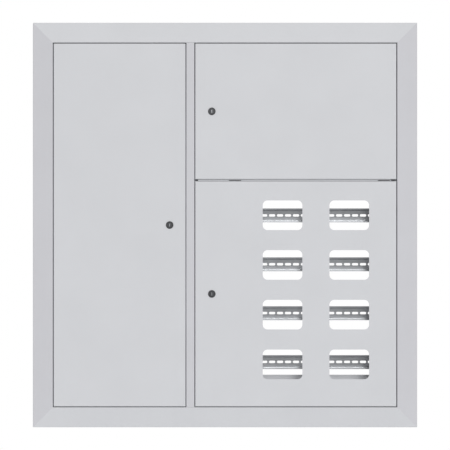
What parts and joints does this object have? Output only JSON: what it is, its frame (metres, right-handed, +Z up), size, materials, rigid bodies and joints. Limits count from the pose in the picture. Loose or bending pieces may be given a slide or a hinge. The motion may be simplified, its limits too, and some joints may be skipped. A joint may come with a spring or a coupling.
{
  "type": "floor distribution board",
  "caption": "Flush-mounted sheet-steel board with sloping trim, three lockable doors and window holes over its meter rails.",
  "frame": {"origin": "centre of the four wall fixings, on the wall plane at the back of the box", "axes": "+X to the right seen from the front, +Y into the wall, +Z up; the doors face -Y"},
  "size_m": [0.95, 0.142, 1],
  "materials": {
    "cabinet_paint": "smooth light grey powder coat",
    "inner_paint": "light grey powder coat",
    "galvanised_steel": "bright zinc-coated strip",
    "zinc_plate": "zinc plated",
    "lock_dark": "dark coated die casting",
    "lock_core": "dark satin metal",
    "brass": "plain brass",
    "insulator_plastic": "moulded, matt"
  },
  "bodies": {
    "cabinet": {"trim_top": "cabinet_paint", "trim_bottom": "cabinet_paint", "trim_left": "cabinet_paint", "trim_right": "cabinet_paint", "centre_stile": "cabinet_paint", "box_top": "inner_paint", "box_bottom": "inner_paint", "box_left": "inner_paint", "box_right": "inner_paint", "partition": "inner_paint", "shelf": "inner_paint", "meter_post_1": "galvanised_steel", "meter_post_2": "galvanised_steel", "meter_post_3": "galvanised_steel", "meter_post_4": "galvanised_steel", "meter_rail_1": "galvanised_steel", "meter_rail_2": "galvanised_steel", "meter_rail_3": "galvanised_steel", "meter_rail_4": "galvanised_steel", "meter_rail_5": "galvanised_steel", "meter_rail_6": "galvanised_steel", "meter_rail_7": "galvanised_steel", "meter_rail_8": "galvanised_steel", "breaker_post_1": "galvanised_steel", "breaker_post_2": "galvanised_steel", "breaker_rail_1": "galvanised_steel", "breaker_rail_2": "galvanised_steel", "mounting_strip_1": "galvanised_steel", "mounting_strip_2": "galvanised_steel", "rail_screws": "zinc_plate", "neutral_bar": "brass", "earth_bar": "brass", "bar_insulators": "insulator_plastic", "bar_screws": "zinc_plate", "earth_stud": "zinc_plate", "hinge_brackets": "zinc_plate", "hinge_pins": "zinc_plate"},
    "left_leaf": {"left_door": "cabinet_paint", "left_hinge_leaves": "zinc_plate", "left_lock_body": "lock_dark", "left_lock_nut": "zinc_plate", "left_stiffener": "inner_paint"},
    "left_lock": {"left_lock_plug": "lock_core", "left_cam": "zinc_plate", "left_cam_screw": "zinc_plate"},
    "upper_leaf": {"upper_door": "cabinet_paint", "upper_hinge_leaves": "zinc_plate", "upper_lock_body": "lock_dark", "upper_lock_nut": "zinc_plate"},
    "upper_lock": {"upper_lock_plug": "lock_core", "upper_cam": "zinc_plate", "upper_cam_screw": "zinc_plate"},
    "lower_leaf": {"lower_door": "cabinet_paint", "lower_hinge_leaves": "zinc_plate", "lower_lock_body": "lock_dark", "lower_lock_nut": "zinc_plate", "lower_stiffener": "inner_paint"},
    "lower_lock": {"lower_lock_plug": "lock_core", "lower_cam": "zinc_plate", "lower_cam_screw": "zinc_plate"}
  },
  "joints": [
    {"name": "left_hinge", "type": "hinge", "parent": "cabinet", "child": "left_leaf", "pos_m": [-0.409, -0.134, 0], "axis": [0, 0, 1], "range_deg": [-110, 0]},
    {"name": "upper_hinge", "type": "hinge", "parent": "cabinet", "child": "upper_leaf", "pos_m": [0.409, -0.134, 0.2805], "axis": [0, 0, 1], "range_deg": [0, 110]},
    {"name": "lower_hinge", "type": "hinge", "parent": "cabinet", "child": "lower_leaf", "pos_m": [0.409, -0.134, -0.17], "axis": [0, 0, 1], "range_deg": [0, 110]},
    {"name": "left_lock_turn", "type": "hinge", "parent": "left_leaf", "child": "left_lock", "pos_m": [-0.1365, -0.1123, 0], "axis": [0, 1, 0], "range_deg": [-90, 0]},
    {"name": "upper_lock_turn", "type": "hinge", "parent": "upper_leaf", "child": "upper_lock", "pos_m": [-0.0325, -0.1123, 0.2805], "axis": [0, 1, 0], "range_deg": [0, 90]},
    {"name": "lower_lock_turn", "type": "hinge", "parent": "lower_leaf", "child": "lower_lock", "pos_m": [-0.0325, -0.1123, -0.17], "axis": [0, 1, 0], "range_deg": [0, 90]}
  ]
}
